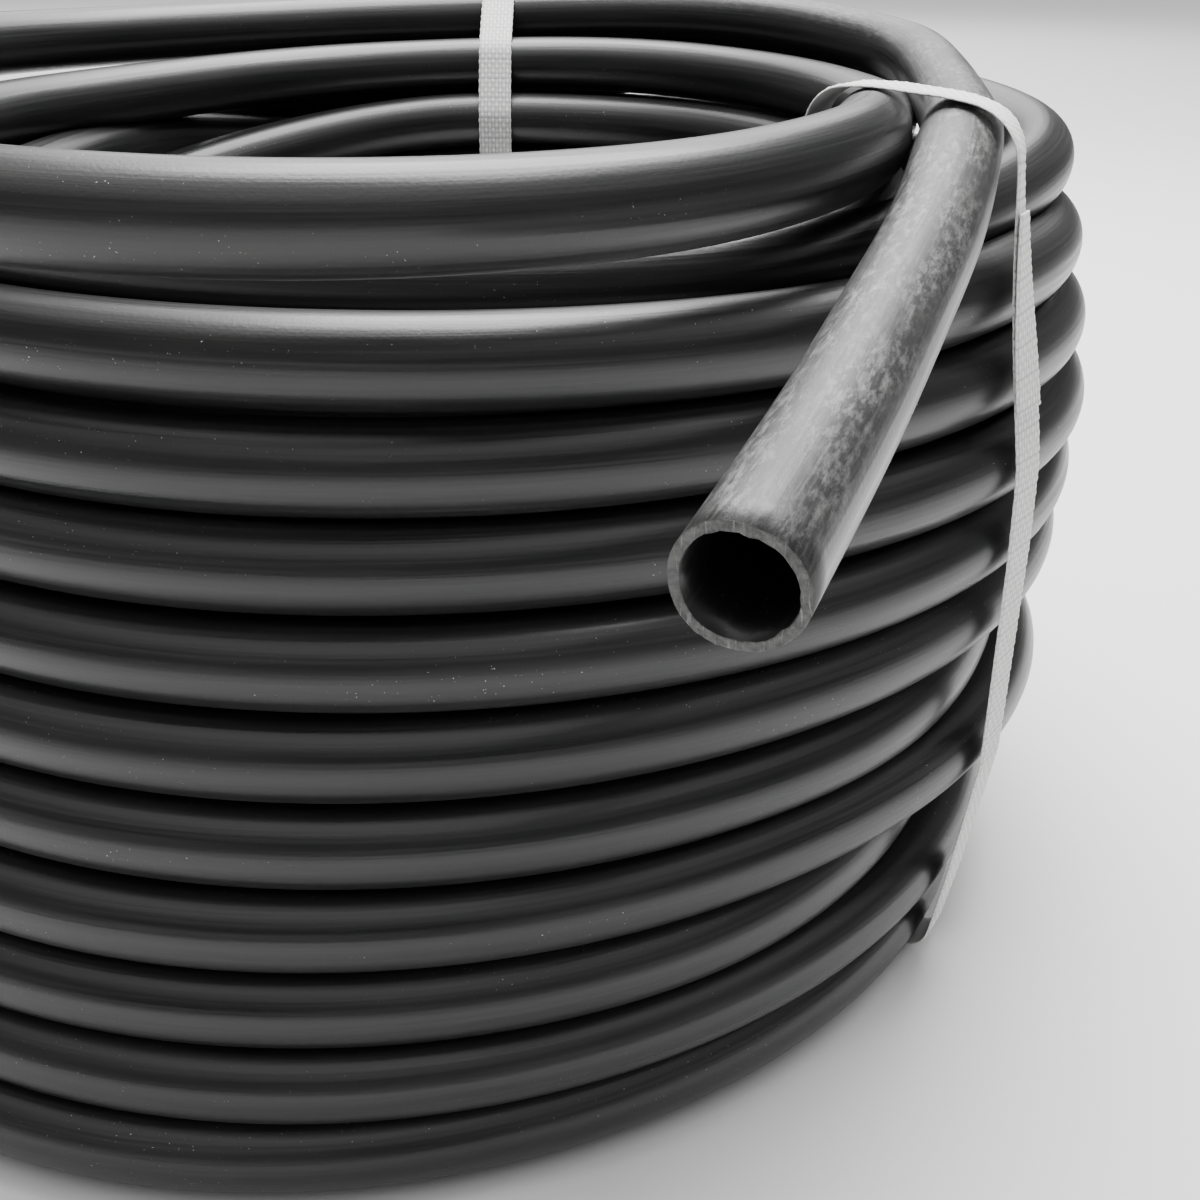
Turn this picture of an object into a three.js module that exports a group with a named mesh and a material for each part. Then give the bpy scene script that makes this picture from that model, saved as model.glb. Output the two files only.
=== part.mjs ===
// A coil of black polyethylene irrigation hose, standing on its flat side and tied with three woven straps.
// Millimetres, +Z up. The coil's eye is vertical, and the free end of the hose runs forward, towards -Y.
// Angles around the coil are in degrees, clockwise from the front when seen from above.
import * as THREE from 'three';
import { mergeGeometries } from 'three/addons/utils/BufferGeometryUtils.js';

// Driving dimensions of the hose.
const HOSE_OD = 16;
const HOSE_WALL = 1.3;
const HOSE_R = HOSE_OD / 2;
const BORE_R = HOSE_R - HOSE_WALL;

// Driving dimensions of the straps. Each one lies in an upright plane: it goes through a place, [x, y]
// from the stack's middle axis, and outwards from there.
const STRAP_WIDTH = 10;
const STRAP_THICK = 0.8;
const STRAP_PLANES = {
  strap_right: { place: [84, -52], outwards: [27, -58] },
  strap_back: { place: [24.8, 109.6], outwards: [0.139, 0.99] },
  strap_left: { place: [-100, -36], outwards: [-0.927, -0.375] },
};

// Clearance between hose pieces, and between a strap and the faceted rings inside it.
const GAP = 0.3;
const STRAP_GAP = 0.8;

// The stack: three nested layers of level turns. It bulges a little and leans as it goes up.
const TURN_COUNT = 10;
const OUTER_RADIUS = 146;
const LAYER_STEP = 15;
const BARREL = 3;
const LEAN_X = 0.17;
const LEAN_Y = 0.09;

const STACK_FLOOR = STRAP_THICK + STRAP_GAP;
const STACK_TOP = STACK_FLOOR + TURN_COUNT * HOSE_OD;
const STACK_MIDDLE = (STACK_FLOOR + STACK_TOP) / 2;
const INNER_RADIUS = OUTER_RADIUS - 2 * LAYER_STEP;
const OUTER_WALL = OUTER_RADIUS - LAYER_STEP / 2;
const INNER_WALL = INNER_RADIUS + LAYER_STEP / 2;

// Facets.
const RING_SEGMENTS = 44;
const BULGE_STEPS = 4;
const TUBE_SIDES = 12;
const HULL_SIDES = 24;
const TOP_STRETCHES = 5;
const TOP_STRETCH_STEPS = 14;
const TOP_CURVE_SAMPLES = 1200;
const CHORD_SAG = 0.4;
const STRETCH_SAMPLES = 90;
const STRETCH_GAP = 0.5;
const FREE_END_STEPS = 12;
const INNER_END_STEPS = 6;
const RING_SAMPLES = 360;
const STRAIGHT = 0.02;

// The last two turns lie on top of the stack, and the free end leaves them. Each row of TOP_TURNS is
// [angle, radius from the stack's upper axis, height of the centreline above the stack's floor].
const TOP_AXIS = [12, 7];
const TOP_TURNS = [
  [-150, 142.5, 169],
  [-110, 141.5, 169.5],
  [-70, 138, 168],
  [-30, 128.5, 161],
  [10, 129.5, 162.5],
  [50, 132, 164.5],
  [90, 127.5, 166.5],
  [130, 121.5, 168.5],
  [170, 121, 171.5],
  [210, 117.5, 174],
  [240, 113, 171.5],
  [270, 107, 171],
  [290, 101, 173],
  [310, 105, 177],
  [330, 127.5, 179.5],
  [350, 149, 178],
  [370, 161, 177.5],
  [390, 164, 178.5],
  [410, 159, 180],
  [430, 151, 181.5],
  [460, 142, 182.5],
  [500, 139, 182.5],
  [540, 137, 185],
  [580, 135, 188.5],
  [615, 129, 185.5],
];

// The free end, as [x, y, height above the stack's floor] from the stack's middle axis.
const FREE_END = [
  [110, -65, 180],
  [98, -96, 179.2],
  [83.5, -127, 169.5],
  [67, -156, 164],
  [50, -187, 157.5],
  [30.2, -219.5, 152],
];
const FREE_END_LENGTH = 170;

// The hose's other end lies on the ground inside the eye: [angle, radius].
const INNER_END = [
  [96, 97],
  [80, 96],
  [64, 94],
  [48, 90],
];

const HALF_TURN = 180;
const QUARTERS = ['right', 'back', 'left', 'front'];

function radians(degrees) {
  return (degrees * Math.PI) / HALF_TURN;
}

function material(color, roughness) {
  return new THREE.MeshStandardMaterial({ color, roughness, metalness: 0 });
}

function hosePiece(name, geometry) {
  const mesh = new THREE.Mesh(geometry, material(0x17181b, 0.38));
  mesh.name = name;
  return mesh;
}

// Radius of one level of a layer, which is largest at the middle of the stack.
function levelRadius(layerRadius, height) {
  const fromMiddle = (height - STACK_MIDDLE) / (STACK_MIDDLE - STACK_FLOOR);
  return layerRadius - BARREL * fromMiddle * fromMiddle;
}

function levelHeights() {
  return Array.from({ length: TURN_COUNT }, (_, index) => STACK_FLOOR + HOSE_R * (2 * index + 1));
}

// The half-round bulges of a layer's turns, from the floor up. side is 1 outwards, -1 towards the eye.
function bulges(layerRadius, side) {
  const points = [];
  for (const height of levelHeights()) {
    const radius = levelRadius(layerRadius, height);
    for (let step = 0; step <= BULGE_STEPS; step += 1) {
      const angle = -Math.PI / 2 + (Math.PI * step) / BULGE_STEPS;
      const point = new THREE.Vector2(
        radius + side * HOSE_R * Math.cos(angle),
        height + HOSE_R * Math.sin(angle),
      );
      const last = points.at(-1);
      if (last && Math.abs(last.y - point.y) < GAP) last.x = (last.x + point.x) / 2;
      else points.push(point);
    }
  }
  return points;
}

// Part of one layer of the stack: its profile turned about Z from one angle over another, in radians
// anticlockwise from the front, then leant about the stack's middle. A part has flat ends.
function winding(profile, from, over) {
  const segments = Math.round((RING_SEGMENTS * over) / (2 * Math.PI));
  const closed = [...profile, profile[0].clone()];
  const parts = [new THREE.LatheGeometry(closed, segments, from, over)];
  if (over < 2 * Math.PI) parts.push(flatEnd(profile, from, false), flatEnd(profile, from + over, true));
  const ring = mergeGeometries(parts);
  ring.rotateX(Math.PI / 2);
  ring.translate(0, 0, -STACK_MIDDLE);
  ring.applyMatrix4(new THREE.Matrix4().makeShear(0, 0, 0, 0, LEAN_X, LEAN_Y));
  ring.translate(0, 0, STACK_MIDDLE);
  return ring;
}

// The flat face that closes a part of a layer at an angle. flip turns it to face the other way.
function flatEnd(profile, angle, flip) {
  const face = new THREE.ShapeGeometry(new THREE.Shape(profile));
  if (flip) face.setIndex([...face.index.array].reverse());
  face.rotateY(angle - Math.PI / 2);
  return face;
}

// The four quarters of a layer, as meshes.
function quarters(name, profile) {
  const apart = GAP / INNER_RADIUS;
  return QUARTERS.map((side, index) => (
    hosePiece(`${name}_${side}`, winding(profile, (Math.PI / 2) * (index + 0.5) + apart / 2, Math.PI / 2 - apart))
  ));
}

function outerProfile() {
  return [
    new THREE.Vector2(OUTER_WALL + GAP, STACK_TOP - HOSE_R),
    new THREE.Vector2(OUTER_WALL + GAP, STACK_FLOOR + HOSE_R),
    ...bulges(OUTER_RADIUS, 1),
  ];
}

// The hidden layer has one turn fewer, half a turn's height up, in the grooves of its neighbours.
function middleProfile() {
  return [
    new THREE.Vector2(INNER_WALL + GAP, STACK_FLOOR + HOSE_R),
    new THREE.Vector2(OUTER_WALL - GAP, STACK_FLOOR + HOSE_R),
    new THREE.Vector2(OUTER_WALL - GAP, STACK_TOP - HOSE_R),
    new THREE.Vector2(INNER_WALL + GAP, STACK_TOP - HOSE_R),
  ];
}

function innerProfile() {
  return [
    new THREE.Vector2(INNER_WALL - GAP, STACK_FLOOR + HOSE_R),
    new THREE.Vector2(INNER_WALL - GAP, STACK_TOP - HOSE_R),
    ...bulges(INNER_RADIUS, -1).reverse(),
  ];
}

function atAngle(angle, radius, height, [axisX, axisY] = [0, 0]) {
  const turn = radians(angle);
  return new THREE.Vector3(
    axisX - radius * Math.sin(turn),
    axisY - radius * Math.cos(turn),
    STACK_FLOOR + height,
  );
}

// A stretch of a curve between two distances along it.
function stretch(curve, from, to) {
  const length = curve.getLength();
  const points = Array.from({ length: STRETCH_SAMPLES + 1 }, (_, index) => (
    curve.getPointAt((from + ((to - from) * index) / STRETCH_SAMPLES) / length)
  ));
  return new THREE.CatmullRomCurve3(points);
}

// A tube with flat ends. boreRadius cuts it through along its length.
function tube(curve, steps, boreRadius) {
  const section = regularOutline(new THREE.Shape(), HOSE_R);
  if (boreRadius) section.holes.push(regularOutline(new THREE.Path(), boreRadius));
  return new THREE.ExtrudeGeometry(section, { steps, extrudePath: curve, bevelEnabled: false });
}

function regularOutline(path, radius) {
  const corners = Array.from({ length: TUBE_SIDES }, (_, index) => {
    const angle = (2 * Math.PI * index) / TUBE_SIDES;
    return new THREE.Vector2(radius * Math.cos(angle), radius * Math.sin(angle));
  });
  return path.setFromPoints(corners);
}

const topTurnPoints = TOP_TURNS.map(([angle, radius, height]) => atAngle(angle, radius, height, TOP_AXIS));
const freeEndPoints = FREE_END.map(([x, y, height]) => new THREE.Vector3(x, y, STACK_FLOOR + height));
const topCurve = new THREE.CatmullRomCurve3([...topTurnPoints, ...freeEndPoints]);
topCurve.arcLengthDivisions = TOP_CURVE_SAMPLES;

const topLength = topCurve.getLength();
const topStretchLength = (topLength - FREE_END_LENGTH) / TOP_STRETCHES;
const freeEnd = stretch(topCurve, topLength - FREE_END_LENGTH, topLength);
const innerEnd = new THREE.CatmullRomCurve3(
  INNER_END.map(([angle, radius]) => atAngle(angle, radius, HOSE_R)),
);

// The centrelines of the stack's inner and outer turns.
function stackLines() {
  return levelHeights().flatMap((height) => [INNER_RADIUS, OUTER_RADIUS].map((layerRadius) => {
    const radius = levelRadius(layerRadius, height);
    const fromMiddle = height - STACK_MIDDLE;
    const axis = [fromMiddle * LEAN_X, fromMiddle * LEAN_Y];
    return Array.from({ length: RING_SAMPLES + 1 }, (_, index) => (
      atAngle((2 * HALF_TURN * index) / RING_SAMPLES, radius, height - STACK_FLOOR, axis)
    ));
  }));
}

// Where centrelines cross a strap's width on its side of the coil, as [distance outwards, height].
// A hose that crosses at a slant is wider there.
function crossings(lines, place, outwards) {
  const across = new THREE.Vector3(-outwards.y, outwards.x, 0);
  const found = [];
  for (const offset of [-STRAP_WIDTH / 2, 0, STRAP_WIDTH / 2]) {
    const aside = (point) => point.clone().sub(place).dot(across) - offset;
    for (const line of lines) {
      for (let index = 1; index < line.length; index += 1) {
        const before = aside(line[index - 1]);
        const after = aside(line[index]);
        if (before * after >= 0) continue;
        const point = line[index - 1].clone().lerp(line[index], before / (before - after));
        const distance = point.clone().sub(place).dot(outwards);
        if (distance < -OUTER_RADIUS / 2) continue;
        const step = line[index].clone().sub(line[index - 1]);
        const slant = Math.hypot(step.dot(outwards), step.z) / Math.abs(step.dot(across));
        const wider = CHORD_SAG + HOSE_R * (Math.hypot(1, slant) - 1);
        found.push([distance - wider, point.z], [distance + wider, point.z]);
      }
    }
  }
  return found;
}

// The tight outline around a set of equal circles: their convex hull, counter-clockwise.
function hullOf(centres, radius) {
  const points = centres.flatMap(([x, y]) => Array.from({ length: HULL_SIDES }, (_, index) => {
    const angle = (2 * Math.PI * index) / HULL_SIDES;
    return new THREE.Vector2(x + radius * Math.cos(angle), y + radius * Math.sin(angle));
  }));
  points.sort((a, b) => a.x - b.x || a.y - b.y);
  const half = (list) => {
    const chain = [];
    for (const point of list) {
      while (chain.length > 1 && turnsRight(chain.at(-2), chain.at(-1), point)) chain.pop();
      chain.push(point);
    }
    return chain.slice(0, -1);
  };
  return [...half(points), ...half([...points].reverse())];
}

function turnsRight(a, b, c) {
  return (b.x - a.x) * (c.y - a.y) - (b.y - a.y) * (c.x - a.x) <= STRAIGHT;
}

// A strap is a taut band around the whole section of the coil.
function strap(name, plane) {
  const place = new THREE.Vector3(...plane.place, 0);
  const outwards = new THREE.Vector3(...plane.outwards, 0).normalize();
  const lines = [...stackLines(), topCurve.getSpacedPoints(TOP_CURVE_SAMPLES)];
  const sections = crossings(lines, place, outwards);
  const inside = HOSE_R + STRAP_GAP;
  const outline = new THREE.Shape(hullOf(sections, inside + STRAP_THICK));
  outline.holes.push(new THREE.Path(hullOf(sections, inside)));
  const band = new THREE.ExtrudeGeometry(outline, { depth: STRAP_WIDTH, bevelEnabled: false });
  band.translate(0, 0, -STRAP_WIDTH / 2);
  band.rotateX(Math.PI / 2);
  band.rotateZ(Math.atan2(outwards.y, outwards.x));
  band.translate(place.x, place.y, 0);
  const mesh = new THREE.Mesh(band, material(0xe9eae4, 0.7));
  mesh.name = name;
  return mesh;
}

// The turns on top of the stack, in stretches with a small gap between them.
function topStretches() {
  return Array.from({ length: TOP_STRETCHES }, (_, index) => {
    const from = topStretchLength * index;
    const curve = stretch(topCurve, from, from + topStretchLength - STRETCH_GAP);
    return hosePiece(`hose_top_stretch_${index + 1}`, tube(curve, TOP_STRETCH_STEPS));
  });
}

const coil = new THREE.Group();
coil.add(
  ...quarters('hose_outer', outerProfile()),
  hosePiece('hose_middle_winding', winding(middleProfile(), 0, 2 * Math.PI)),
  ...quarters('hose_inner', innerProfile()),
  ...topStretches(),
  hosePiece('hose_free_end', tube(freeEnd, FREE_END_STEPS, BORE_R)),
  hosePiece('hose_inner_end', tube(innerEnd, INNER_END_STEPS, BORE_R)),
);
for (const [name, plane] of Object.entries(STRAP_PLANES)) coil.add(strap(name, plane));

// The origin is the middle of the coil's underside, as a box around the whole part would have it.
const box = new THREE.Box3().setFromObject(coil, true);
coil.position.set(-(box.min.x + box.max.x) / 2, -(box.min.y + box.max.y) / 2, -box.min.z);

export default coil;
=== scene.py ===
"""A coil of black polyethylene irrigation hose, tied with three woven straps, in a plain pale studio."""

import math

import bpy
import numpy as np
from mathutils import Matrix, Vector


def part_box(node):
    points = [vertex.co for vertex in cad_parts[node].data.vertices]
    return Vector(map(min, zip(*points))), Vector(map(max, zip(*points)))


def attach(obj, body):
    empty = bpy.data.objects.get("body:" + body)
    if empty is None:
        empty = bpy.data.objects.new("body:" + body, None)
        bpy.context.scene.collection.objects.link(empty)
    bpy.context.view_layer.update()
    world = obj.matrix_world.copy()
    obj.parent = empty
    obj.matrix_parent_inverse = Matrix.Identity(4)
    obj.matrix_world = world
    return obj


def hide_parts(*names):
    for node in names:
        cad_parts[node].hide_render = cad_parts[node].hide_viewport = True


MM = 0.001
HOSE_OD = 16.0
HOSE_R = HOSE_OD / 2
HOSE_WALL = 1.3
STRAP_WIDTH = 10.0
STRAP_THICK = 0.8
STACK_FLOOR = 1.45
SEED = 7

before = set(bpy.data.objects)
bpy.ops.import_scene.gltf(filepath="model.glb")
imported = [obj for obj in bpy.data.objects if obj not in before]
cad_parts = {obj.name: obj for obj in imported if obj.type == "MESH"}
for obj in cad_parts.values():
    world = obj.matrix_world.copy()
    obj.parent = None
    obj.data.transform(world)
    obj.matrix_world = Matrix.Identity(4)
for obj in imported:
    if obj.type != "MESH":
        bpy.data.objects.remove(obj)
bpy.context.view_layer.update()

# The stack's middle axis, at the level that its lowest turn lies on.
boxes = [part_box(f"hose_outer_{side}") for side in ("right", "back", "left", "front")]
middle_x = (min(low.x for low, _ in boxes) + max(high.x for _, high in boxes)) / 2
middle_y = (min(low.y for low, _ in boxes) + max(high.y for _, high in boxes)) / 2
AXIS = Vector((middle_x, middle_y, STACK_FLOOR * MM))


# ---------------------------------------------------------------- camera
# The camera's place from AXIS in metres and its turns in radians, fitted to the outlines of the turns.
CAMERA_FROM_AXIS = Vector((0.0, -0.343, 0.2129))
YAW, PITCH, ROLL = 0.1581, 0.4499, 0.0137


def add_camera():
    yaw, pitch, roll = YAW, PITCH, ROLL
    forward = Vector((math.sin(yaw) * math.cos(pitch), math.cos(yaw) * math.cos(pitch), -math.sin(pitch)))
    level = Vector((math.cos(yaw), -math.sin(yaw), 0))
    over = level.cross(forward)
    right = level * math.cos(roll) + over * math.sin(roll)
    up = over * math.cos(roll) - level * math.sin(roll)
    data = bpy.data.cameras.new("camera")
    data.lens = 41.06
    data.sensor_width = 36
    data.shift_x = -0.0314
    data.shift_y = -0.0095
    camera = bpy.data.objects.new("camera", data)
    turn = Matrix((right, up, -forward)).transposed().to_4x4()
    camera.matrix_world = Matrix.Translation(AXIS + CAMERA_FROM_AXIS) @ turn
    bpy.context.scene.collection.objects.link(camera)
    bpy.context.scene.camera = camera


add_camera()

# ---------------------------------------------------------------- the hose's route
# Everything here is in millimetres from the stack's middle axis, with heights from the stack's floor.
# Angles are in degrees, clockwise from the front when seen from above.
JOG_START = 100.0
JOG_END = 190.0
SINK_END = 250.0
LEVELS = 10
TOP_AXIS = (9.6, 6.8)
ANGLE_STEP = 5
BARREL_MIDDLE = 80.0
BARREL_HALF = 72.0


def smooth(t):
    """0 up to t = 0 and 1 from t = 1 on, with an even rise between them."""
    t = np.clip(t, 0.0, 1.0)
    return t * t * (3 - 2 * t)


def barrel_share(height):
    """-1 at the lowest turn and 1 at the highest."""
    return (height - BARREL_MIDDLE) / BARREL_HALF


def stack_centre(height):
    """The stack leans: where the middle of a level lies."""
    u = barrel_share(height)
    return 12.7 * u - 3.2 * u * u, 6.5 * u


def outer_radius(height):
    """The stack bulges like a barrel: the radius of the outer layer's centreline."""
    u = barrel_share(height)
    return 147.2 - 2.2 * u - 3.1 * u * u


def bump(angle, centre, half_width):
    """1 at centre, falling smoothly to 0 at half_width degrees from it."""
    off = abs((angle - centre + 180) % 360 - 180) / half_width
    return 0.0 if off >= 1 else 0.5 + 0.5 * math.cos(math.pi * off)


def wobble(angle, height, turn):
    """Small irregularity in radius and height. Neighbouring turns share some of it, more at the back."""
    a = math.radians(angle)
    at_back = 0.5 * (1 - math.cos(a))
    shared = (0.9 * math.sin(2 * a + 0.7 + height / 70) + 0.5 * math.sin(3 * a + height / 40)) * at_back
    own = 0.35 * math.sin(a * 2 + 2.4 * turn) + 0.25 * math.sin(a * 5 + 1.7 * turn)
    lift = 0.12 * math.sin(a * 3 + 1.9 * turn)
    return shared + own, lift


def point(angle, radius, height, axis=None):
    cx, cy = stack_centre(height) if axis is None else axis
    a = math.radians(angle)
    return (cx - radius * math.sin(a), cy - radius * math.cos(a), height)


# Where the outer turns leave the plain barrel shape, from the floor up:
# [turn, angle, half-width in degrees, outwards, up].
UNEVEN = [
    (0, 303, 55, 2.5, 0.0),
    (1, 303, 55, 2.5, 0.0),
    (2, 285, 58, -12.0, 0.0),
    (3, 296, 44, 5.5, 1.5),
    (4, 293, 38, -8.0, 0.0),
    (5, 300, 55, 2.0, 0.0),
    (6, 300, 55, 2.5, 0.0),
    (7, 300, 55, 2.5, 0.0),
    (8, 300, 55, 1.0, 0.0),
    (9, 290, 50, -1.5, 0.0),
    (9, 205, 60, 0.0, 3.0),
]


def outer_point(angle, level):
    height = HOSE_R + HOSE_OD * level
    turn = int(math.floor(level + 0.5))
    dr, dz = wobble(angle, height, turn)
    radius = outer_radius(height) + dr
    for which, centre, half_width, outwards, up in UNEVEN:
        if which == turn:
            radius += outwards * bump(angle, centre, half_width)
            dz += up * bump(angle, centre, half_width)
    return point(angle, radius, height + (dz if level > 0.5 else 0.0))


def pressed_in(angle, height):
    """How far the turns behind an outer turn that is tucked in are pushed towards the eye."""
    total = 0.0
    for turn, centre, half_width, outwards, _ in UNEVEN:
        beside = max(0.0, 1 - abs(height - HOSE_R - HOSE_OD * turn) / 26)
        total += max(0.0, -outwards - 2) * bump(angle, centre, half_width + 6) * beside
    return total


def middle_point(angle, level):
    height = HOSE_OD * (level + 1)
    dr, _ = wobble(angle, height, int(level))
    return point(angle, outer_radius(height) - 15 + dr * 0.4 - 0.95 * pressed_in(angle, height), height)


def inner_radius(angle, height):
    sag = bump(angle, 300, 130) * (0.25 + 0.75 * height / 160)
    swell = bump(angle, 175, 110) * height / 160
    return outer_radius(height) - 30.5 - 8.5 * sag + 1.5 * swell - 0.55 * pressed_in(angle, height)


def inner_point(angle, level):
    height = HOSE_R + HOSE_OD * level
    dr, dz = wobble(angle + 40, height, int(level) + 20)
    rise = 5.6 * bump(angle, 205, 140) * smooth((height - 60) / 80)
    return point(angle, inner_radius(angle, height) + dr * 0.6, height + rise + (dz if level > 0.5 else 0.0))


def layer(place, first, last, start_angle, up):
    """Turns from level first to last, level except across the jog zone."""
    points = []
    count = abs(last - first)
    direction = 1 if up else -1
    for turn in range(count + 1):
        level = first + direction * turn
        a = JOG_END if turn else start_angle
        while a < 360 + JOG_START:
            points.append(place(a % 360, level))
            a += ANGLE_STEP
        if turn < count:
            a = JOG_START
            while a < JOG_END:
                s = smooth((a - JOG_START) / (JOG_END - JOG_START))
                points.append(place(a % 360, level + direction * s))
                a += ANGLE_STEP
    return points


# Between layers the hose goes over or under one turn: its distance from that turn's centre, and how many
# degrees it goes round it.
CLEAR = 16.4
CROSSING = 118.0


def jog(place):
    """Points across the jog zone: place gives each one from its angle and its share of the way."""
    count = 18
    shares = [i / count for i in range(count)]
    return [place(JOG_START + (JOG_END - JOG_START) * t, smooth(t)) for t in shares]


def lead_in(angle, share):
    """The first turn comes in along the ground, inside the turn that climbs over it."""
    radius = inner_radius(angle, HOSE_R) - math.sqrt(CLEAR**2 - (HOSE_OD * share) ** 2)
    return point(angle, radius, HOSE_R)


def inner_to_middle(angle, share):
    """At the top the hose goes over the turn that is climbing below it, and down outside it."""
    turn = math.radians(90 - CROSSING * share)
    height = HOSE_R + HOSE_OD * (LEVELS - 2 + share)
    radius = inner_radius(angle, height)
    return point(angle, radius + CLEAR * math.cos(turn), height + CLEAR * math.sin(turn))


def sink(place):
    """The first turn of the middle layer goes on down one level, which leaves room for the turn above."""
    angles = np.arange(JOG_END, SINK_END, ANGLE_STEP)
    return [place(a, LEVELS - 2 - smooth((a - JOG_END) / (SINK_END - JOG_END))) for a in angles]


def middle_to_outer(angle, share):
    """At the floor the hose goes down and out, under the turn that is climbing beside it."""
    turn = math.radians(90 - CROSSING * (1 - share))
    height = HOSE_R + HOSE_OD * share
    radius = outer_radius(height) - CLEAR * math.cos(turn)
    return point(angle, radius, max(HOSE_R, height - CLEAR * math.sin(turn)))


def outer_to_top(angle, share):
    return outer_point(angle, LEVELS - 1 + share)


# The last two turns on top of the stack: [angle, radius from TOP_AXIS, height]. These rows and FREE_END's
# began as a fit to the photo's outlines, and some were then changed.
TOP_TURNS = [
    (-150, 142.5, 172.0),
    (-125, 142.0, 172.5),
    (-100, 141.0, 170.3),
    (-70, 137.5, 166.8),
    (-50, 130.5, 162.5),
    (-30, 127.5, 159.5),
    (10, 128.5, 160.5),
    (50, 132.0, 164.5),
    (90, 127.5, 166.5),
    (130, 121.5, 168.0),
    (170, 121.0, 171.5),
    (210, 117.5, 174.0),
    (240, 113.0, 172.5),
    (270, 107.0, 171.0),
    (290, 101.0, 173.0),
    (310, 107.0, 177.0),
    (330, 129.0, 178.0),
    (350, 149.0, 177.0),
    (370, 161.0, 177.0),
    (390, 164.0, 178.5),
    (410, 158.0, 180.0),
    (430, 147.0, 181.5),
    (460, 140.5, 182.5),
    (500, 139.0, 182.5),
    (540, 137.0, 185.0),
    (580, 135.0, 187.8),
    (615, 129.0, 183.0),
]
# The free end, which leaves them towards the front: [x, y, height] from the stack's middle axis.
FREE_END = [
    (109.5, -65.0, 177.4),
    (97.0, -96.5, 177.3),
    (83.0, -127.0, 170.0),
    (66.8, -156.5, 164.0),
    (49.0, -188.0, 157.5),
    (30.2, -219.5, 152.0),
]
# The hose's other end lies on the ground inside the eye: [angle, radius].
INNER_END = [(48, 90.0), (60, 92.5), (72, 94.5), (84, 95.7)]


def polar_spline(rows, step):
    """Rows of (angle, radius, height), smoothly interpolated over the angle."""
    rows = np.array(rows, float)
    a = rows[:, 0]
    slopes = np.gradient(rows[:, 1:], a, axis=0)
    out = []
    for i in range(len(rows) - 1):
        span = a[i + 1] - a[i]
        n = max(1, int(round(span / step)))
        for k in range(n):
            t = k / n
            h00, h10 = 2 * t**3 - 3 * t**2 + 1, t**3 - 2 * t**2 + t
            h01, h11 = -2 * t**3 + 3 * t**2, t**3 - t**2
            value = (
                h00 * rows[i, 1:]
                + h10 * span * slopes[i]
                + h01 * rows[i + 1, 1:]
                + h11 * span * slopes[i + 1]
            )
            out.append((a[i] + t * span, value[0], value[1]))
    out.append(tuple(rows[-1]))
    return out


def hose_route():
    points = [point(a, r, HOSE_R) for a, r in INNER_END]
    points += jog(lead_in) + layer(inner_point, 0, LEVELS - 1, JOG_END, up=True)
    points += jog(inner_to_middle) + sink(middle_point)
    points += layer(middle_point, LEVELS - 3, 0, SINK_END, up=False)
    points += jog(middle_to_outer) + layer(outer_point, 0, LEVELS - 1, JOG_END, up=True)
    points += jog(outer_to_top)
    points += [point(a, r, h, TOP_AXIS) for a, r, h in polar_spline(TOP_TURNS, ANGLE_STEP)]
    return points + list(FREE_END)


def catmull_rom(points, spacing):
    """A smooth curve through points, as points that are spacing apart."""
    p = np.array(points, float)
    p = np.vstack([2 * p[0] - p[1], p, 2 * p[-1] - p[-2]])
    fine = []
    for i in range(1, len(p) - 2):
        p0, p1, p2, p3 = p[i - 1], p[i], p[i + 1], p[i + 2]
        t0 = 0.0
        t1 = t0 + math.sqrt(np.linalg.norm(p1 - p0))
        t2 = t1 + math.sqrt(np.linalg.norm(p2 - p1))
        t3 = t2 + math.sqrt(np.linalg.norm(p3 - p2))
        n = max(2, int(np.linalg.norm(p2 - p1) / 1.5))
        t = np.linspace(t1, t2, n, endpoint=False)[:, None]
        a1 = (t1 - t) / (t1 - t0) * p0 + (t - t0) / (t1 - t0) * p1
        a2 = (t2 - t) / (t2 - t1) * p1 + (t - t1) / (t2 - t1) * p2
        a3 = (t3 - t) / (t3 - t2) * p2 + (t - t2) / (t3 - t2) * p3
        b1 = (t2 - t) / (t2 - t0) * a1 + (t - t0) / (t2 - t0) * a2
        b2 = (t3 - t) / (t3 - t1) * a2 + (t - t1) / (t3 - t1) * a3
        fine.append((t2 - t) / (t2 - t1) * b1 + (t - t1) / (t2 - t1) * b2)
    fine = np.vstack(fine + [p[-2:-1]])
    return resample(fine, spacing)


def distance_along(line):
    return np.concatenate([[0], np.cumsum(np.linalg.norm(np.diff(line, axis=0), axis=1))])


def resample(line, spacing):
    along = distance_along(line)
    count = int(round(along[-1] / spacing)) + 1
    at = np.linspace(0, along[-1], count)
    return np.stack([np.interp(at, along, line[:, k]) for k in range(3)], axis=1)


def averaged(padded, width):
    """Each row's weighted average with the width rows before it and after it."""
    kernel = np.hanning(2 * width + 3)[1:-1]
    kernel /= kernel.sum()
    return np.stack([np.convolve(column, kernel, mode="valid") for column in padded.T], axis=1)


def soften_closed(loop, width):
    return averaged(np.vstack([loop[-width:], loop, loop[:width]]), width)


def soften(line, width):
    """Averages the line along itself, so that it has no kinks. Its ends stay."""
    padded = np.vstack([
        2 * line[0] - line[width:0:-1],
        line,
        2 * line[-1] - line[-2 : -width - 2 : -1],
    ])
    return averaged(padded, width)


route = catmull_rom(hose_route(), 4.0)
route = soften(route, 6)
route = resample(route, 5.0)
centreline = route * MM + np.array(AXIS)


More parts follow.
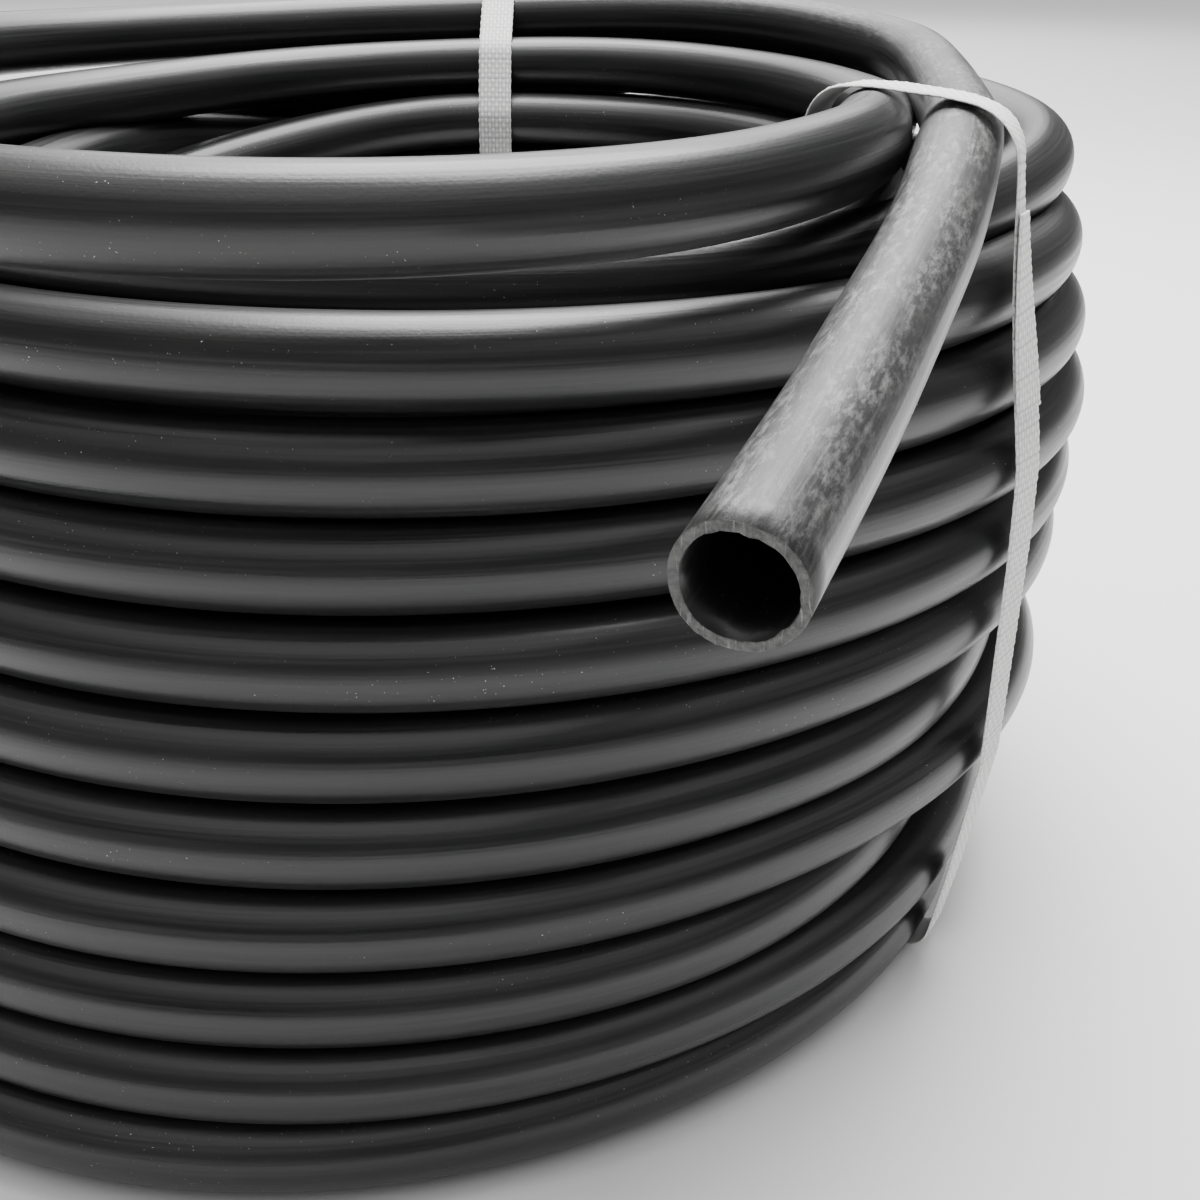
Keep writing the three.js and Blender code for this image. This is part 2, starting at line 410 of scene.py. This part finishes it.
# ---------------------------------------------------------------- mesh helpers
def new_object(name, points, faces, skin=None, numbers=None):
    """skin is a pattern coordinate for each point, and numbers are further values for each point."""
    mesh = bpy.data.meshes.new(name)
    mesh.from_pydata([tuple(p) for p in points], [], faces)
    if skin is not None:
        data = mesh.attributes.new("skin", "FLOAT_VECTOR", "POINT").data
        data.foreach_set("vector", np.asarray(skin, np.float32).ravel())
    for key, values in (numbers or {}).items():
        data = mesh.attributes.new(key, "FLOAT", "POINT").data
        data.foreach_set("value", np.asarray(values, np.float32))
    mesh.update()
    obj = bpy.data.objects.new(name, mesh)
    bpy.context.scene.collection.objects.link(obj)
    obj.data.polygons.foreach_set("use_smooth", [True] * len(mesh.polygons))
    return obj


def frames(line):
    """Tangent, side and up of a line, turned as little as possible from point to point."""
    tangent = np.gradient(line, axis=0)
    tangent /= np.linalg.norm(tangent, axis=1)[:, None]
    up = np.zeros_like(line)
    first = np.array([0.0, 0.0, 1.0])
    first -= tangent[0] * first.dot(tangent[0])
    up[0] = first / np.linalg.norm(first)
    for i in range(1, len(line)):
        # A little pull back to upright keeps the seam of the section where it is all along the coil.
        v = up[i - 1] + np.array([0, 0, 0.05])
        v = v - tangent[i] * v.dot(tangent[i])
        up[i] = v / np.linalg.norm(v)
    side = np.cross(tangent, up)
    return tangent, side, up


# The scuffed stretch, in metres from the cut end: its middle, and how far it reaches on both sides.
WEAR_MIDDLE = 0.12
WEAR_REACH = 0.3


def hose_mesh(name, line):
    """The hose as one closed skin: outside, cut faces and a bore that runs in from both ends."""
    sides = 40
    deep = 30
    tangent, side, up = frames(line)
    angles = np.linspace(0, 2 * math.pi, sides, endpoint=False)
    circle = np.stack([np.cos(angles), np.sin(angles)], axis=1)
    along = distance_along(line)
    rng = np.random.default_rng(SEED)
    rings, skins, cut = [], [], []
    outside = HOSE_R * MM
    bore = (HOSE_R - HOSE_WALL) * MM
    last = len(line) - 1

    def ring(i, radius, shift=0.0, is_cut=0.0):
        radius = np.broadcast_to(radius, sides)[:, None]
        offset = (circle[:, :1] * side[i] + circle[:, 1:] * up[i]) * radius
        rings.append(line[i] + offset + tangent[i] * np.broadcast_to(shift, sides)[:, None])
        skins.append(np.column_stack([np.full(sides, along[i]), circle * radius]))
        cut.append(np.full(sides, is_cut))

    def cut_face(i, phase, inwards):
        """The sawn ring at an end, a little wavy, with burrs on both rims. It goes from the bore outwards."""
        wave = 0.3 * MM * np.cos(2 * angles + phase) + 0.1 * MM * np.cos(5 * angles + 2 * phase)
        burr = 0.5 * MM * np.clip(rng.standard_normal(sides) - 1.1, 0, 1.2)
        rims = {0.0: -burr, 1.0: 0.4 * burr[::-1]}
        rows = []
        for share in np.linspace(0, 1, 6):
            rough = 0.07 * MM * rng.standard_normal(sides)
            radius = bore + (outside - bore) * share + rims.get(float(share), 0)
            rows.append((radius, wave + rough))
        for radius, shift in rows if inwards else rows[::-1]:
            ring(i, radius, shift, 1.0)

    # From deep in the bore at the start, out of the mouth, along the outside and into the other mouth.
    for i in range(deep, 0, -1):
        ring(i, bore)
    cut_face(0, 0.4, True)
    for i in range(1, last):
        ring(i, outside)
    cut_face(last, 2.1, False)
    for i in range(last - 1, last - deep - 1, -1):
        ring(i, bore)

    count = len(rings)
    start = np.arange(count - 1)[:, None] * sides + np.arange(sides)
    following = np.arange(count - 1)[:, None] * sides + (np.arange(sides) + 1) % sides
    faces = np.stack([start, following, following + sides, start + sides], axis=-1).reshape(-1, 4).tolist()
    centres = count * sides
    end = (count - 1) * sides
    for k in range(sides):
        n = (k + 1) % sides
        faces.append((centres, n, k))
        faces.append((centres + 1, end + k, end + n))
    points = np.vstack([*rings, line[deep][None], line[last - deep][None]])
    skin = np.vstack([*skins, [[along[deep], 0, 0]], [[along[last - deep], 0, 0]]])
    cut = np.concatenate([*cut, [0, 0]])

    # Wear: how far the hose's outside is scuffed. It is only near the free end, where the hose faces up.
    from_end = along[-1] - skin[:, 0]
    index = np.clip(np.searchsorted(along, skin[:, 0]), 0, last)
    radial = points - line[index]
    facing_up = radial[:, 2] / (np.linalg.norm(radial, axis=1) + 1e-9)
    near_end = np.clip(1.1 - np.abs(from_end - WEAR_MIDDLE) / WEAR_REACH, 0, 1)
    wear = near_end * np.clip(facing_up * 1.4 - 0.25, 0, 1)
    return new_object(name, points, faces, skin, {"cut": cut, "wear": wear})


hose = hose_mesh("hose", centreline)


# ---------------------------------------------------------------- straps
# Each strap goes round the coil in an upright plane, through a point [x, y] and outwards along [x, y].
# At the top it has slipped aside a little, and it is twisted by some degrees where it comes down outside.
STRAPS = {
    "strap_right": ((84.0, -52.0), (27.0, -58.0), -3.6, 24.0),
    "strap_back": ((24.8, 109.6), (0.139, 0.99), 0.0, 0.0),
    "strap_left": ((-100.0, -36.0), (-0.927, -0.375), 1.0, -6.0),
}
SLIP_FROM = 118.0
SLIP_OVER = 50.0
TWIST_HIGHER = 12.0
STRAP_GAP = 0.35
STRAP_STEP = 0.4
CORDS_ACROSS = 9
PICK_LENGTH = 1.5
WEAVE_HEIGHT = 0.2
UPRIGHT = np.array([0.0, 0.0, 1.0])
# Where a strap's end laps over its start: the height of the lap's middle, and how far it goes up and down.
LAP = {"strap_right": (150.0, 18.0)}


def slip_at(height):
    return smooth((height - SLIP_FROM) / SLIP_OVER)


def hose_sections(place, outward, across, slip):
    """The slanted sections of every turn that the strap goes round: centres and slants, in its plane."""
    centres, slants = [], []
    for offset in (-0.42, -0.2, 0.0, 0.2, 0.42):
        beside = (route - place) @ across - offset * STRAP_WIDTH - slip * slip_at(route[:, 2])
        for i in np.nonzero(beside[:-1] * beside[1:] < 0)[0]:
            step_along = route[i + 1] - route[i]
            p = route[i] + step_along * beside[i] / (beside[i] - beside[i + 1])
            distance = (p - place) @ outward
            if distance < -60:
                continue
            centres.append((distance, p[2]))
            slants.append(np.array([step_along @ outward, step_along[2]]) / (step_along @ across))
    return np.array(centres), np.array(slants)


def taut_outline(centres, slants):
    """The outline of a string that is drawn tight round the sections."""
    radius = HOSE_R + STRAP_GAP
    outline = []
    for angle in np.radians(np.arange(0, 360, 0.25)):
        facing = np.array([math.cos(angle), math.sin(angle)])
        tilt = slants @ facing
        reach = centres @ facing + radius * np.sqrt(1 + tilt**2)
        i = int(np.argmax(reach))
        touch = centres[i] + radius * (facing + tilt[i] * slants[i]) / math.sqrt(1 + tilt[i] ** 2)
        if not outline or np.linalg.norm(touch - outline[-1]) > 0.02:
            outline.append(touch)
    outline = np.array(outline + outline[:1])
    gaps = np.linalg.norm(np.diff(outline, axis=0), axis=1)
    keep = np.concatenate([[True], gaps > 0.01])
    return outline[keep]


def strap_path(place, outward, slip):
    """The strap's way round the coil as [distance outwards, height], and the plane that it lies in."""
    place = np.array([*place, 0.0])
    outward = np.array([*outward, 0.0]) / np.hypot(*outward)
    across = np.array([-outward[1], outward[0], 0.0])
    outline = taut_outline(*hose_sections(place, outward, across, slip))
    along = distance_along(outline)
    count = int(along[-1] / STRAP_STEP)
    at = np.linspace(0, along[-1], count, endpoint=False)
    path = np.stack([np.interp(at, along, outline[:, k]) for k in range(2)], axis=1)
    return soften_closed(path, 6), place, outward, across


def band_rows(path, place, outward, across, slip, twist, lift):
    """For each point of the path: its place in space, the direction across the strap, and its normal."""
    ahead = np.roll(path, -1, axis=0) - np.roll(path, 1, axis=0)
    ahead /= np.linalg.norm(ahead, axis=1)[:, None]
    flat_normal = np.stack([ahead[:, 1], -ahead[:, 0]], axis=1)
    middle = place + path[:, :1] * outward + path[:, 1:] * UPRIGHT
    middle = middle + slip * slip_at(path[:, 1])[:, None] * across
    tangent = np.roll(middle, -1, axis=0) - np.roll(middle, 1, axis=0)
    tangent /= np.linalg.norm(tangent, axis=1)[:, None]
    # On the walls the strap lies flat against the hose, so that it turns a little between wall and top.
    axis = np.stack([*stack_centre(path[:, 1]), np.zeros(len(path))], axis=1)
    radial = (middle - axis) * np.array([1.0, 1.0, 0.0])
    radial /= np.linalg.norm(radial, axis=1)[:, None]
    turn = np.radians(twist) * slip_at(path[:, 1] - TWIST_HIGHER) * (flat_normal[:, 0] > 0)
    radial = np.stack([
        radial[:, 0] * np.cos(turn) - radial[:, 1] * np.sin(turn),
        radial[:, 0] * np.sin(turn) + radial[:, 1] * np.cos(turn),
        np.zeros(len(turn)),
    ], axis=1)
    normal = flat_normal[:, :1] * radial + flat_normal[:, 1:] * UPRIGHT
    normal = soften_closed(normal, 20)
    normal -= tangent * (normal * tangent).sum(axis=1)[:, None]
    normal /= np.linalg.norm(normal, axis=1)[:, None]
    width_way = np.cross(normal, tangent)
    return middle + normal * lift, width_way, normal


def woven_band(rows, closed, start=0.0, drift=0.0):
    """A plain-woven band along rows: points, faces, pattern coordinates, and the depth of the weave (a fixed
    0.4 on the underside), which the webbing material uses as a painted shade mask.
    """
    middle, width_way, normal = rows
    columns = 4 * CORDS_ACROSS + 1
    v = np.linspace(-0.5, 0.5, columns)
    u = start + np.arange(len(middle)) * STRAP_STEP
    cords = np.cos(math.pi * (v * CORDS_ACROSS + 0.5))
    picks = np.sin(math.pi * u / PICK_LENGTH)
    cells = np.abs(cords[None] * picks[:, None])
    # Added before the rounding down, 20.001 keeps the cords' numbers positive and off the edges of the steps.
    over = (np.floor(v * CORDS_ACROSS + 20.001)[None] + np.floor(u / PICK_LENGTH)[:, None]) % 2
    height = WEAVE_HEIGHT * cells**0.7 * (0.55 + 0.45 * over)
    edge = 1 + 0.012 * np.sin(2 * math.pi * u / (2 * PICK_LENGTH))
    sideways = (v[None] * edge[:, None] * STRAP_WIDTH + drift)[..., None] * width_way[:, None]
    thick = STRAP_THICK - WEAVE_HEIGHT
    rounding = np.clip((0.5 - np.abs(v)) * 12, 0, 1) ** 0.5
    above = (thick * (0.35 + 0.65 * rounding) + height)[..., None]
    below = (thick * 0.25 * (1 - rounding))[None, :, None]
    top = middle[:, None] + sideways + normal[:, None] * above
    under = middle[:, None] + sideways + normal[:, None] * below
    loop = np.concatenate([top, under[:, ::-1]], axis=1)
    around = loop.shape[1]
    over_and_back = np.concatenate([v, v[::-1]])[None] * STRAP_WIDTH
    pattern = np.stack(np.broadcast_arrays(u[:, None], over_and_back, 0), axis=-1)
    # Painted shade mask: the webbing's colour is painted greyer where this is low, in the hollows between the
    # cords, and on the underside, which gets 0.4.
    depth = np.concatenate([height / WEAVE_HEIGHT, np.full((len(u), columns), 0.4)], axis=1)
    length = len(middle)
    rows_used = np.arange(length if closed else length - 1)
    a = rows_used[:, None] * around + np.arange(around)
    b = rows_used[:, None] * around + (np.arange(around) + 1) % around
    c = ((rows_used + 1) % length)[:, None] * around + (np.arange(around) + 1) % around
    d = ((rows_used + 1) % length)[:, None] * around + np.arange(around)
    faces = np.stack([a, b, c, d], axis=-1).reshape(-1, 4).tolist()
    if not closed:
        for k in range(columns - 1):
            faces.append((k + 1, k, around - 1 - k, around - 2 - k))
            base = (length - 1) * around
            faces.append((base + k, base + k + 1, base + around - 2 - k, base + around - 1 - k))
    return loop.reshape(-1, 3), faces, pattern.reshape(-1, 3), depth.ravel()


def strap_mesh(name, place, outward, slip, twist):
    path, *plane = strap_path(place, outward, slip)
    parts = [woven_band(band_rows(path, *plane, slip, twist, 0.0), closed=True)]
    if name in LAP:
        # The strap's end laps over its start, on the outside of the coil's upper turns.
        top, length = LAP[name]
        lifted = band_rows(path, *plane, slip, twist, STRAP_THICK + 0.1)
        outside = np.nonzero((path[:, 0] > path[:, 0].mean()) & (np.abs(path[:, 1] - top) < length))[0]
        lap = tuple(part[outside] for part in lifted)
        parts.append(woven_band(lap, closed=False, start=0.7, drift=1.1))
    points, faces, skins, depths = [], [], [], []
    total = 0
    for part_points, part_faces, skin, depth in parts:
        points.append(part_points * MM + np.array(AXIS))
        faces += [tuple(k + total for k in face) for face in part_faces]
        skins.append(skin)
        depths.append(depth)
        total += len(part_points)
    return new_object(name, np.vstack(points), faces, np.vstack(skins), {"depth": np.concatenate(depths)})


straps = {name: strap_mesh(name, *plane) for name, plane in STRAPS.items()}


# ---------------------------------------------------------------- materials
class Nodes:
    """A little help to write a material's node tree."""

    def __init__(self, name):
        self.material = bpy.data.materials.new(name)
        self.material.use_nodes = True
        self.tree = self.material.node_tree
        self.shader = self.tree.nodes["Principled BSDF"]

    def add(self, kind, inputs=None, **settings):
        node = self.tree.nodes.new(kind)
        for key, value in settings.items():
            setattr(node, key, value)
        for key, value in (inputs or {}).items():
            self.link(value, node.inputs[key])
        return node

    def link(self, value, socket):
        if isinstance(value, bpy.types.NodeSocket):
            self.tree.links.new(value, socket)
        else:
            socket.default_value = value

    def attribute(self, name, output):
        """The values that new_object stored on the mesh under this name."""
        return self.add("ShaderNodeAttribute", attribute_name=name).outputs[output]

    def scaled(self, vector, scale):
        node = self.add("ShaderNodeVectorMath", {0: vector, 1: scale}, operation="MULTIPLY")
        return node.outputs[0]

    def noise(self, vector, scale, detail=3.0, roughness=0.55):
        vector = self.scaled(vector, scale)
        inputs = {"Vector": vector, "Scale": 1.0, "Detail": detail, "Roughness": roughness}
        return self.add("ShaderNodeTexNoise", inputs).outputs["Fac"]

    def ramp(self, value, low, high, out_low=0.0, out_high=1.0):
        """value's range from low to high, stretched to the range from out_low to out_high."""
        inputs = {"Value": value, "From Min": low, "From Max": high, "To Min": out_low, "To Max": out_high}
        return self.add("ShaderNodeMapRange", inputs).outputs["Result"]

    def math(self, operation, a, b=0.0):
        return self.add("ShaderNodeMath", {0: a, 1: b}, operation=operation).outputs[0]

    def mix(self, share, a, b):
        node = self.add("ShaderNodeMix", data_type="RGBA")
        self.link(share, node.inputs["Factor"])
        self.link(a, node.inputs["A"])
        self.link(b, node.inputs["B"])
        return node.outputs["Result"]

    def bump(self, height, strength, distance):
        inputs = {"Height": height, "Strength": strength, "Distance": distance}
        return self.add("ShaderNodeBump", inputs).outputs["Normal"]

    def to(self, socket, value):
        self.link(value, self.shader.inputs[socket])


def hose_material():
    n = Nodes("hose_black")
    skin = n.attribute("skin", "Vector")
    wear = n.attribute("wear", "Fac")
    streaks = n.noise(skin, (9.0, 900.0, 900.0))
    blotches = n.noise(skin, (14.0, 120.0, 120.0), 4.0)
    grain = n.noise(skin, (1500.0, 1500.0, 1500.0), 2.0)
    dust = n.noise(skin, (2300.0, 2600.0, 2600.0), 1.0)
    scuffs = n.noise(skin, (300.0, 800.0, 800.0), 7.0, 0.7)
    patches = n.noise(skin, (45.0, 140.0, 140.0), 2.0)
    scratch = n.noise(skin, (70.0, 1800.0, 1800.0), 3.0)

    dusty = n.math("MULTIPLY", n.ramp(dust, 0.755, 0.785), n.ramp(blotches, 0.5, 0.62))
    worn_patches = n.math("MULTIPLY", wear, n.ramp(patches, 0.35, 0.6))
    scuffed = n.math("MULTIPLY", n.ramp(scuffs, 0.46, 0.74), worn_patches)
    scraped = n.math("MULTIPLY", n.ramp(scratch, 0.55, 0.7), n.ramp(wear, 0.0, 1.0, 0.05, 0.6))
    plain = n.mix(n.ramp(blotches, 0.35, 0.7), (0.007, 0.0073, 0.0078, 1), (0.016, 0.016, 0.0155, 1))
    streaky = n.mix(n.ramp(streaks, 0.5, 0.75, 0.0, 0.45), plain, (0.04, 0.04, 0.038, 1))
    worn = n.mix(n.math("MULTIPLY", wear, 0.5), streaky, (0.06, 0.06, 0.059, 1))
    worn = n.mix(n.math("MULTIPLY", scraped, 0.4), worn, (0.2, 0.2, 0.195, 1))
    worn = n.mix(n.math("MULTIPLY", scuffed, 0.55), worn, (0.5, 0.5, 0.49, 1))
    n.to("Base Color", n.mix(n.math("MULTIPLY", dusty, 0.7), worn, (0.75, 0.75, 0.72, 1)))
    rough = n.math("ADD", n.ramp(streaks, 0.3, 0.7, 0.27, 0.4), n.ramp(blotches, 0.3, 0.7, -0.03, 0.05))
    n.to("Roughness", n.math("ADD", rough, n.math("MULTIPLY", wear, 0.14)))
    relief = n.math("ADD", n.math("MULTIPLY", grain, 0.25), n.math("MULTIPLY", scuffed, 0.8))
    relief = n.math("ADD", relief, n.math("MULTIPLY", streaks, 0.5))
    n.to("Normal", n.bump(relief, 0.35, 0.0003))
    return n.material


def cut_material():
    n = Nodes("hose_cut")
    skin = n.attribute("skin", "Vector")
    nicks = n.noise(skin, (900.0, 900.0, 900.0), 4.0, 0.7)
    saw = n.noise(skin, (300.0, 2600.0, 300.0), 2.0)
    tone = n.mix(n.ramp(nicks, 0.35, 0.7), (0.03, 0.03, 0.03, 1), (0.13, 0.13, 0.125, 1))
    n.to("Base Color", n.mix(n.ramp(saw, 0.6, 0.78, 0.0, 0.6), tone, (0.42, 0.42, 0.41, 1)))
    n.to("Roughness", n.ramp(nicks, 0.3, 0.7, 0.45, 0.7))
    n.to("Normal", n.bump(n.math("ADD", nicks, saw), 0.6, 0.0004))
    return n.material


def webbing_material():
    n = Nodes("strap_webbing")
    skin = n.attribute("skin", "Vector")
    depth = n.attribute("depth", "Fac")
    fibres = n.noise(skin, (1.2, 14.0, 14.0), 3.0)
    soil = n.noise(skin, (0.05, 0.2, 0.2), 4.0)
    # Painted shade: the white webbing is painted grey in the hollows of the weave and a lighter grey on its
    # underside.
    weave_with_painted_shade = n.mix(n.ramp(depth, 0.0, 0.6), (0.42, 0.43, 0.44, 1), (0.86, 0.86, 0.84, 1))
    thready = n.mix(n.ramp(fibres, 0.45, 0.75, 0.0, 0.35), weave_with_painted_shade, (0.62, 0.62, 0.6, 1))
    n.to("Base Color", n.mix(n.ramp(soil, 0.5, 0.8, 0.0, 0.35), thready, (0.66, 0.63, 0.56, 1)))
    n.to("Roughness", n.ramp(fibres, 0.3, 0.7, 0.55, 0.75))
    n.to("Normal", n.bump(fibres, 0.4, 0.0002))
    return n.material


hose.data.materials.append(hose_material())
hose.data.materials.append(cut_material())
is_cut = np.zeros(len(hose.data.vertices), np.float32)
hose.data.attributes["cut"].data.foreach_get("value", is_cut)
for polygon in hose.data.polygons:
    polygon.material_index = int(all(is_cut[v] > 0.5 for v in polygon.vertices))
webbing = webbing_material()
for name, strap in straps.items():
    strap.data.materials.append(webbing)
    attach(strap, "root")
    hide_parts(name)

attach(hose, "root")
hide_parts(*[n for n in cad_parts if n.startswith("hose_")])


# ---------------------------------------------------------------- studio
def area_light(name, place, target, size, power, size_y=None):
    data = bpy.data.lights.new(name, "AREA")
    data.shape = "RECTANGLE"
    data.size = size
    data.size_y = size_y or size
    data.energy = power
    light = bpy.data.objects.new(name, data)
    light.location = place
    light.rotation_mode = "QUATERNION"
    light.rotation_quaternion = (Vector(target) - Vector(place)).to_track_quat("-Z", "Y")
    bpy.context.scene.collection.objects.link(light)


def add_studio():
    floor = new_object("floor", [(-6, -6, 0), (6, -6, 0), (6, 6, 0), (-6, 6, 0)], [(0, 1, 2, 3)])
    n = Nodes("floor_pale")
    n.to("Base Color", (0.78, 0.78, 0.78, 1))
    n.to("Roughness", 0.9)
    floor.data.materials.append(n.material)
    # The light comes from a soft sky that is bright overhead and dim near the horizon.
    world = bpy.data.worlds.new("world")
    world.use_nodes = True
    nodes, links = world.node_tree.nodes, world.node_tree.links
    direction = nodes.new("ShaderNodeTexCoord").outputs["Generated"]
    split = nodes.new("ShaderNodeSeparateXYZ")
    rise = nodes.new("ShaderNodeMapRange")
    rise.interpolation_type = "SMOOTHSTEP"
    for key, value in {"From Min": 0.45, "From Max": 0.97, "To Min": 0.2, "To Max": 1.7}.items():
        rise.inputs[key].default_value = value
    links.new(direction, split.inputs[0])
    links.new(split.outputs["Z"], rise.inputs["Value"])
    links.new(rise.outputs["Result"], nodes["Background"].inputs["Strength"])
    nodes["Background"].inputs["Color"].default_value = (1, 1, 1, 1)
    bpy.context.scene.world = world
    area_light("key", (0.15, 0.4, 1.35), (0, 0.05, 0.1), 1.0, 56)
    area_light("back", (0.3, 2.3, 1.7), (0.2, 1.3, 0), 2.4, 70)


add_studio()
